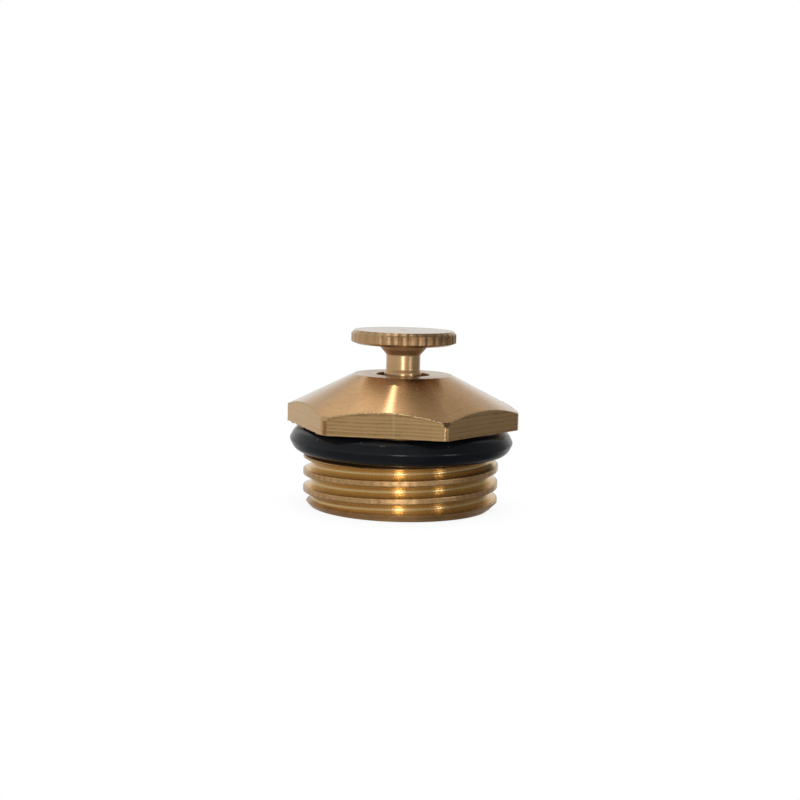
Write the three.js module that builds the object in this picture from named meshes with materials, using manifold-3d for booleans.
// Adjustable brass spray nozzle for a G1/2 riser: a hexagonal conical nozzle body with a male
// parallel pipe thread, a rubber ring under its flange, and a knurled adjusting pin that screws up
// and down in the middle of its mouth. Units are millimetres, +Z points up out of the mouth, and
// the origin is the centre of the inlet end face.
import * as THREE from "three";
import { mergeVertices } from "three/addons/utils/BufferGeometryUtils.js";
import Module from "manifold-3d";

const { degToRad } = THREE.MathUtils;

// ---- Driving dimensions ------------------------------------------------------------------------

const BODY_FACETS = 48; // facets round the body, a multiple of four and of the hexagon's six
const PIN_FACETS = 20; // facets round the pin and its tapped hole
const HOLE_FACETS = 20;
const OVERCUT = 1; // how far a cutter runs past the faces it cuts through

// Threads: flank is half of the thread angle
const PIPE_THREAD = {
  pitch: 1.814, // 14 threads to the inch
  crestR: 10.45,
  rootR: 9.6,
  crestFlat: 0.55,
  flank: degToRad(27.5),
};
const PIN_THREAD = {
  pitch: 0.7, // M4 x 0.7
  crestR: 1.97,
  rootR: 1.55,
  crestFlat: 0.14,
  flank: degToRad(30),
};

// Nozzle body: spigot
const PIPE_CREST_Z_AT_X = 2.605; // height of a crest on the +X side
const PIPE_ROOT_HALF_FLAT = 0.11;
const PIPE_ROOT_EASE = 0.12; // radial height of the steeper sides next to the root flat
const PIPE_GROOVE_BOTTOM_Z = -1.0;
const PIPE_GROOVE_TOP_Z = 6.6;
const SPIGOT_LENGTH = 8.65; // inlet end to flange underside
const SPIGOT_END_R = 9.7;
const SPIGOT_CHAMFER_Z = 0.8;
const THREAD_TOP_Z = 5.45;
const SEAT_R = 9.03; // plain seat that the rubber ring sits on
const SEAT_BOTTOM_Z = 6.2;

// Nozzle body: flange, cone and mouth
const HEX_ACROSS_FLATS = 22.0;
const HEX_CORNER_R = 12.48; // the hexagon's corners are left from round bar of this radius
const CORNER_CHAMFER_R = 12.25;
const CORNER_CHAMFER_DROP = 0.18;
const CONE_SLOPE = degToRad(26.8);
const RIM_R = 5.22; // flat ring round the mouth
const RIM_Z = 14.13;
const MOUTH_R = 2.9;

// Nozzle body: inside
const INLET_R = 7.75;
const INLET_CHAMFER = 0.3;
const SHOULDER_Z = 8.9; // faces the top of the bridge
const CHAMBER_R = 6.8;
const CHAMBER_TOP_Z = 10.0;
const MOUTH_BOTTOM_Z = 12.3;

// Pin bridge
const BRIDGE_GAP = 0.03; // to the inlet wall and to the shoulder
const BRIDGE_R = INLET_R - BRIDGE_GAP;
const BRIDGE_BOTTOM_Z = 6.4;
const BRIDGE_TOP_Z = SHOULDER_Z - BRIDGE_GAP;
const BRIDGE_CHAMFER = 0.25;
const WATER_HOLES = 4;
const WATER_HOLE_R = 1.5;
const WATER_HOLE_PITCH_R = 4.8;
const TAP_RADIAL_GAP = 0.09; // free play round the pin's crests and roots
const TAP_FLANK_GAP = 0.08; // free play along the axis on each flank
const TAP_ROOT_R = PIN_THREAD.crestR + TAP_RADIAL_GAP;
const TAP_CREST_R = PIN_THREAD.rootR + TAP_RADIAL_GAP;

// Adjusting pin: head
const HEAD_R = 5.59;
const HEAD_BOTTOM_Z = 17.32;
const HEAD_TOP_Z = 18.8;
const HEAD_TOP_BEVEL = { inward: 0.33, height: 0.37 };
const HEAD_BOTTOM_BEVEL = { inward: 0.6, height: 0.25 };
const FLUTES = 36;
const FLUTE_STEPS = 4; // outline points per flute
const FLUTE_DEPTH = 0.13;

// Adjusting pin: stem, from the head down
const STEM_INTO_HEAD = 0.4;
const COLLAR_R = 2.5; // root of the cone under the head
const COLLAR_FLARE = 0.25; // how much wider that cone is at the head
const NECK_R = 1.82;
const NECK_TOP_Z = 16.3;
const NECK_BOTTOM_Z = 14.3; // the neck flares out to the shank here
const SHANK_R = 2.0;
const PIN_THREAD_TOP_Z = 13.0;
const PIN_THREAD_BOTTOM_Z = 4.7;
const PIN_CREST_Z_AT_X = PIN_THREAD_BOTTOM_Z; // height of a pin crest on the +X side
const PIN_LEAD_IN = 0.4; // height of the taper at the thread's lower end
const CLIP_GROOVE_BOTTOM_Z = 4.2;
const CLIP_GROOVE_R = 1.2;
const TAIL_R = 1.53;
const TAIL_Z = 3.6;
const TAIL_CHAMFER = 0.25;

// Pin stop clip
const CLIP_AXIAL_GAP = 0.05; // above and below the clip in its groove
const CLIP_BOTTOM_Z = CLIP_GROOVE_BOTTOM_Z + CLIP_AXIAL_GAP;
const CLIP_TOP_Z = PIN_THREAD_BOTTOM_Z - CLIP_AXIAL_GAP;
const CLIP_R = 3.1;
const CLIP_STEPS = 30; // straight edges round its outside
const CLIP_GRIP_R = 1.27;
const CLIP_RELIEF_R = 2.0;
const CLIP_MOUTH_DEG = 42; // half the angle of its open side, which faces +X

// Flange ring
const O_RING_SECTION_R = 1.38;
const O_RING_SECTION_FACETS = 14;
const O_RING_SEAT_GAP = 0.03;
const O_RING_CENTRE_R = SEAT_R + O_RING_SEAT_GAP + O_RING_SECTION_R;
const O_RING_CENTRE_Z = 7.16;

// ---- Solids ------------------------------------------------------------------------------------

const wasm = await Module();
wasm.setup();

// A closed three.js geometry as a solid, with its shared vertices merged and its faces turned out.
function solid(geometry) {
  for (const name of Object.keys(geometry.attributes)) {
    if (name !== "position") geometry.deleteAttribute(name);
  }
  const merged = mergeVertices(geometry, 1e-4);
  const positions = merged.attributes.position.array;
  const corners = merged.index.array;
  const vertex = (k) => new THREE.Vector3().fromArray(positions, 3 * k);
  const triangles = [];
  let volume = 0; // six times the enclosed volume, negative if the faces point inwards
  for (let i = 0; i < corners.length; i += 3) {
    const [a, b, c] = corners.subarray(i, i + 3);
    if (a === b || b === c || a === c) continue;
    triangles.push([a, b, c]);
    volume += vertex(a).dot(vertex(b).cross(vertex(c)));
  }
  const outward = volume < 0 ? triangles.map(([a, b, c]) => [a, c, b]) : triangles;
  return new wasm.Manifold(
    new wasm.Mesh({
      numProp: 3,
      vertProperties: new Float32Array(positions),
      triVerts: new Uint32Array(outward.flat()),
    }),
  );
}

// A profile of [radius, height] pairs turned round the Z axis.
function turned(profile, facets) {
  const points = profile.map(([r, z]) => new THREE.Vector2(r, z));
  return solid(new THREE.LatheGeometry(points, facets).rotateX(Math.PI / 2));
}

// A closed outline of [radius, degrees] pairs raised from bottomZ to topZ.
function raised(outline, bottomZ, topZ) {
  const points = outline.map(([r, degrees]) => {
    const angle = degToRad(degrees);
    return new THREE.Vector2(r * Math.cos(angle), r * Math.sin(angle));
  });
  const shape = new THREE.Shape(points);
  shape.closePath();
  const options = { depth: topZ - bottomZ, bevelEnabled: false };
  return solid(new THREE.ExtrudeGeometry(shape, options).translate(0, 0, bottomZ));
}

// A section of [radius, offset along Z] pairs swept up a right-hand helix. Its middle crosses the
// +X side at phaseZ, and it runs from fromZ to toZ in whole facets.
function helix({ section, pitch, phaseZ, fromZ, toZ, facets }) {
  const first = Math.floor(((fromZ - phaseZ) / pitch) * facets);
  const last = Math.ceil(((toZ - phaseZ) / pitch) * facets);
  const count = section.length;
  const positions = [];
  for (let i = first; i <= last; i++) {
    const angle = (i / facets) * 2 * Math.PI;
    const z = phaseZ + (i / facets) * pitch;
    for (const [r, offset] of section) {
      positions.push(r * Math.cos(angle), r * Math.sin(angle), z + offset);
    }
  }
  const index = [];
  const steps = last - first;
  for (let i = 0; i < steps; i++) {
    for (let k = 0; k < count; k++) {
      const a = i * count + k;
      const b = i * count + ((k + 1) % count);
      index.push(a, b, b + count, a, b + count, a + count);
    }
  }
  const end = steps * count;
  for (let k = 1; k < count - 1; k++) {
    index.push(0, k + 1, k);
    index.push(end, end + k, end + k + 1);
  }
  const geometry = new THREE.BufferGeometry();
  geometry.setAttribute("position", new THREE.Float32BufferAttribute(positions, 3));
  geometry.setIndex(index);
  return solid(geometry);
}

// Half the width along Z, at radius r, of the groove between two threads.
function grooveHalfWidth({ pitch, crestR, crestFlat, flank }, r) {
  return (pitch - crestFlat) / 2 + (r - crestR) * Math.tan(flank);
}

function geometryOf(body) {
  const mesh = body.getMesh();
  const { numVert, numProp, vertProperties } = mesh;
  const positions = new Float32Array(numVert * 3);
  for (let i = 0; i < numVert; i++) {
    positions.set(vertProperties.subarray(i * numProp, i * numProp + 3), i * 3);
  }
  const geometry = new THREE.BufferGeometry();
  geometry.setAttribute("position", new THREE.BufferAttribute(positions, 3));
  geometry.setIndex(new THREE.BufferAttribute(new Uint32Array(mesh.triVerts), 1));
  geometry.computeVertexNormals();
  return geometry;
}

// ---- Nozzle body -------------------------------------------------------------------------------

const coneZ = (r) => RIM_Z - (r - RIM_R) * Math.tan(CONE_SLOPE);

function bodyBlank() {
  return turned(
    [
      [0, 0],
      [SPIGOT_END_R, 0],
      [PIPE_THREAD.crestR, SPIGOT_CHAMFER_Z],
      [PIPE_THREAD.crestR, THREAD_TOP_Z],
      [SEAT_R, SEAT_BOTTOM_Z],
      [SEAT_R, SPIGOT_LENGTH],
      [HEX_CORNER_R, SPIGOT_LENGTH],
      [HEX_CORNER_R, coneZ(CORNER_CHAMFER_R) - CORNER_CHAMFER_DROP],
      [CORNER_CHAMFER_R, coneZ(CORNER_CHAMFER_R)],
      [RIM_R, RIM_Z],
      [0, RIM_Z],
    ],
    BODY_FACETS,
  );
}

// The hexagon, with a corner on the +X side.
function hexPrism() {
  const cornerR = HEX_ACROSS_FLATS / 2 / Math.cos(Math.PI / 6);
  const outline = Array.from({ length: 6 }, (_, i) => [cornerR, i * 60]);
  return raised(outline, -OVERCUT, RIM_Z + OVERCUT);
}

function pipeGroove() {
  const { pitch, crestR, rootR } = PIPE_THREAD;
  const outerR = crestR + 0.2;
  const easeR = rootR + PIPE_ROOT_EASE;
  const crestHalf = grooveHalfWidth(PIPE_THREAD, crestR);
  const easeHalf = grooveHalfWidth(PIPE_THREAD, easeR);
  return helix({
    section: [
      [crestR, -crestHalf],
      [outerR, -crestHalf],
      [outerR, crestHalf],
      [crestR, crestHalf],
      [easeR, easeHalf],
      [rootR, PIPE_ROOT_HALF_FLAT],
      [rootR, -PIPE_ROOT_HALF_FLAT],
      [easeR, -easeHalf],
    ],
    pitch,
    phaseZ: PIPE_CREST_Z_AT_X - pitch / 2,
    fromZ: PIPE_GROOVE_BOTTOM_Z,
    toZ: PIPE_GROOVE_TOP_Z,
    facets: BODY_FACETS,
  });
}

function bodyBore() {
  return turned(
    [
      [0, -OVERCUT],
      [INLET_R + INLET_CHAMFER + OVERCUT, -OVERCUT],
      [INLET_R, INLET_CHAMFER],
      [INLET_R, SHOULDER_Z],
      [CHAMBER_R, SHOULDER_Z],
      [CHAMBER_R, CHAMBER_TOP_Z],
      [MOUTH_R, MOUTH_BOTTOM_Z],
      [MOUTH_R, RIM_Z + OVERCUT],
      [0, RIM_Z + OVERCUT],
    ],
    BODY_FACETS,
  );
}

function nozzleBody() {
  return bodyBlank().intersect(hexPrism()).subtract(pipeGroove()).subtract(bodyBore());
}

// ---- Pin bridge --------------------------------------------------------------------------------

function bridgeDisc() {
  return turned(
    [
      [0, BRIDGE_BOTTOM_Z],
      [BRIDGE_R - BRIDGE_CHAMFER, BRIDGE_BOTTOM_Z],
      [BRIDGE_R, BRIDGE_BOTTOM_Z + BRIDGE_CHAMFER],
      [BRIDGE_R, BRIDGE_TOP_Z - BRIDGE_CHAMFER],
      [BRIDGE_R - BRIDGE_CHAMFER, BRIDGE_TOP_Z],
      [0, BRIDGE_TOP_Z],
    ],
    BODY_FACETS,
  );
}

function waterHole(angle) {
  const length = BRIDGE_TOP_Z - BRIDGE_BOTTOM_Z + 2 * OVERCUT;
  const x = WATER_HOLE_PITCH_R * Math.cos(angle);
  const y = WATER_HOLE_PITCH_R * Math.sin(angle);
  return solid(
    new THREE.CylinderGeometry(WATER_HOLE_R, WATER_HOLE_R, length, HOLE_FACETS)
      .rotateX(Math.PI / 2)
      .translate(x, y, (BRIDGE_TOP_Z + BRIDGE_BOTTOM_Z) / 2),
  );
}

function tapDrill() {
  return turned(
    [
      [0, BRIDGE_BOTTOM_Z - OVERCUT],
      [TAP_CREST_R, BRIDGE_BOTTOM_Z - OVERCUT],
      [TAP_CREST_R, BRIDGE_TOP_Z + OVERCUT],
      [0, BRIDGE_TOP_Z + OVERCUT],
    ],
    PIN_FACETS,
  );
}

// The pin's thread ridge with its free play added, to cut the thread in the bridge.
function tapGroove() {
  const { pitch } = PIN_THREAD;
  const ridgeHalfWidth = (r) => pitch / 2 - grooveHalfWidth(PIN_THREAD, r);
  const crestHalf = ridgeHalfWidth(TAP_CREST_R) + TAP_FLANK_GAP;
  const rootHalf = ridgeHalfWidth(TAP_ROOT_R) + TAP_FLANK_GAP;
  const innerR = TAP_CREST_R - 0.06;
  const overrun = 0.8;
  return helix({
    section: [
      [innerR, -crestHalf],
      [TAP_CREST_R, -crestHalf],
      [TAP_ROOT_R, -rootHalf],
      [TAP_ROOT_R, rootHalf],
      [TAP_CREST_R, crestHalf],
      [innerR, crestHalf],
    ],
    pitch,
    phaseZ: PIN_CREST_Z_AT_X,
    fromZ: BRIDGE_BOTTOM_Z - overrun,
    toZ: BRIDGE_TOP_Z + overrun,
    facets: PIN_FACETS,
  });
}

function pinBridge() {
  let bridge = bridgeDisc();
  for (let i = 0; i < WATER_HOLES; i++) {
    bridge = bridge.subtract(waterHole(Math.PI / 4 + (i * 2 * Math.PI) / WATER_HOLES));
  }
  return bridge.subtract(tapDrill()).subtract(tapGroove());
}

// ---- Adjusting pin -----------------------------------------------------------------------------

function pinStem() {
  return turned(
    [
      // Tail and clip groove
      [0, TAIL_Z],
      [TAIL_R - TAIL_CHAMFER, TAIL_Z],
      [TAIL_R, TAIL_Z + TAIL_CHAMFER],
      [TAIL_R, CLIP_GROOVE_BOTTOM_Z],
      [CLIP_GROOVE_R, CLIP_GROOVE_BOTTOM_Z],
      [CLIP_GROOVE_R, PIN_THREAD_BOTTOM_Z],
      // Thread and shank
      [TAIL_R, PIN_THREAD_BOTTOM_Z],
      [PIN_THREAD.crestR, PIN_THREAD_BOTTOM_Z + PIN_LEAD_IN],
      [PIN_THREAD.crestR, PIN_THREAD_TOP_Z],
      [SHANK_R, PIN_THREAD_TOP_Z + 0.05],
      [SHANK_R, NECK_BOTTOM_Z],
      // Neck, with a rounded flare at each end
      [SHANK_R - 0.06, NECK_BOTTOM_Z + 0.14],
      [NECK_R + 0.03, NECK_BOTTOM_Z + 0.34],
      [NECK_R, NECK_BOTTOM_Z + 0.5],
      [NECK_R, NECK_TOP_Z],
      [NECK_R + 0.12, NECK_TOP_Z + 0.3],
      [NECK_R + 0.36, NECK_TOP_Z + 0.52],
      // Cone under the head, and the core inside it
      [COLLAR_R, NECK_TOP_Z + 0.65],
      [COLLAR_R + COLLAR_FLARE, HEAD_BOTTOM_Z],
      [COLLAR_R + COLLAR_FLARE, HEAD_BOTTOM_Z + STEM_INTO_HEAD],
      [0, HEAD_BOTTOM_Z + STEM_INTO_HEAD],
    ],
    PIN_FACETS,
  );
}

function pinGroove() {
  const { pitch, crestR, rootR } = PIN_THREAD;
  const outerR = crestR + 0.15;
  const crestHalf = grooveHalfWidth(PIN_THREAD, crestR);
  const rootHalf = grooveHalfWidth(PIN_THREAD, rootR);
  return helix({
    section: [
      [crestR, -crestHalf],
      [outerR, -crestHalf],
      [outerR, crestHalf],
      [crestR, crestHalf],
      [rootR, rootHalf],
      [rootR, -rootHalf],
    ],
    pitch,
    phaseZ: PIN_CREST_Z_AT_X + pitch / 2,
    fromZ: PIN_THREAD_BOTTOM_Z - 0.1,
    toZ: PIN_THREAD_TOP_Z - 0.4,
    facets: PIN_FACETS,
  });
}

function knurledDisc() {
  const count = FLUTES * FLUTE_STEPS;
  const outline = Array.from({ length: count }, (_, i) => {
    // 0 in the middle of a tooth, 0.5 in the middle of a flute
    const phase = (i % FLUTE_STEPS) / FLUTE_STEPS;
    const depth = FLUTE_DEPTH * (0.5 - 0.5 * Math.cos(2 * Math.PI * phase));
    return [HEAD_R - depth, (i / count) * 360];
  });
  return raised(outline, HEAD_BOTTOM_Z, HEAD_TOP_Z);
}

// Bounds the head. Each bevel's line is carried on past both ends of the bevel.
function headEnvelope() {
  const top = HEAD_TOP_BEVEL;
  const bottom = HEAD_BOTTOM_BEVEL;
  return turned(
    [
      [0, HEAD_BOTTOM_Z - bottom.height],
      [HEAD_R - 2 * bottom.inward, HEAD_BOTTOM_Z - bottom.height],
      [HEAD_R + bottom.inward, HEAD_BOTTOM_Z + 2 * bottom.height],
      [HEAD_R + top.inward, HEAD_TOP_Z - 2 * top.height],
      [HEAD_R - 2 * top.inward, HEAD_TOP_Z + top.height],
      [0, HEAD_TOP_Z + top.height],
    ],
    FLUTES * 2,
  );
}

function adjustingPin() {
  const head = knurledDisc().intersect(headEnvelope());
  return pinStem().subtract(pinGroove()).add(head);
}

// ---- Pin stop clip -----------------------------------------------------------------------------

function pinStopClip() {
  const open = CLIP_MOUTH_DEG;
  const step = (360 - 2 * open) / CLIP_STEPS;
  const outer = Array.from({ length: CLIP_STEPS + 1 }, (_, i) => [CLIP_R, open + i * step]);
  // Half of the inner edge, [radius, degrees] from the mouth to the back, mirrored across the
  // X axis: three grips that hold the groove, with relief between them.
  const innerHalf = [
    [CLIP_GRIP_R, open + 4],
    [CLIP_GRIP_R, open + 26],
    [CLIP_RELIEF_R, open + 34],
    [CLIP_RELIEF_R, open + 60],
    [CLIP_RELIEF_R, open + 88],
    [CLIP_GRIP_R, 156],
    [CLIP_GRIP_R, 170],
  ];
  const mirrored = innerHalf.map(([r, degrees]) => [r, 360 - degrees]);
  const outline = [...outer, ...mirrored, ...innerHalf.reverse()];
  return raised(outline, CLIP_BOTTOM_Z, CLIP_TOP_Z);
}

// ---- Flange ring -------------------------------------------------------------------------------

function flangeRing() {
  return solid(
    new THREE.TorusGeometry(
      O_RING_CENTRE_R,
      O_RING_SECTION_R,
      O_RING_SECTION_FACETS,
      BODY_FACETS,
    ).translate(0, 0, O_RING_CENTRE_Z),
  );
}

// ---- Materials and assembly --------------------------------------------------------------------

const metal = ({ color, roughness }) =>
  new THREE.MeshStandardMaterial({ color, roughness, metalness: 1 });

const rubber = () =>
  new THREE.MeshStandardMaterial({ color: 0x15181a, roughness: 0.45, metalness: 0 });

const nozzle = new THREE.Group();
nozzle.name = "spray_nozzle";

function addPiece(name, body, material) {
  const mesh = new THREE.Mesh(geometryOf(body), material);
  mesh.name = name;
  nozzle.add(mesh);
}

addPiece("nozzle_body", nozzleBody(), metal({ color: 0xb98f52, roughness: 0.38 }));
addPiece("pin_bridge", pinBridge(), metal({ color: 0xb38a4e, roughness: 0.45 }));
addPiece("adjusting_pin", adjustingPin(), metal({ color: 0xb48e57, roughness: 0.35 }));
addPiece("pin_stop_clip", pinStopClip(), metal({ color: 0x8f9296, roughness: 0.4 }));
addPiece("flange_o_ring", flangeRing(), rubber());

export default nozzle;
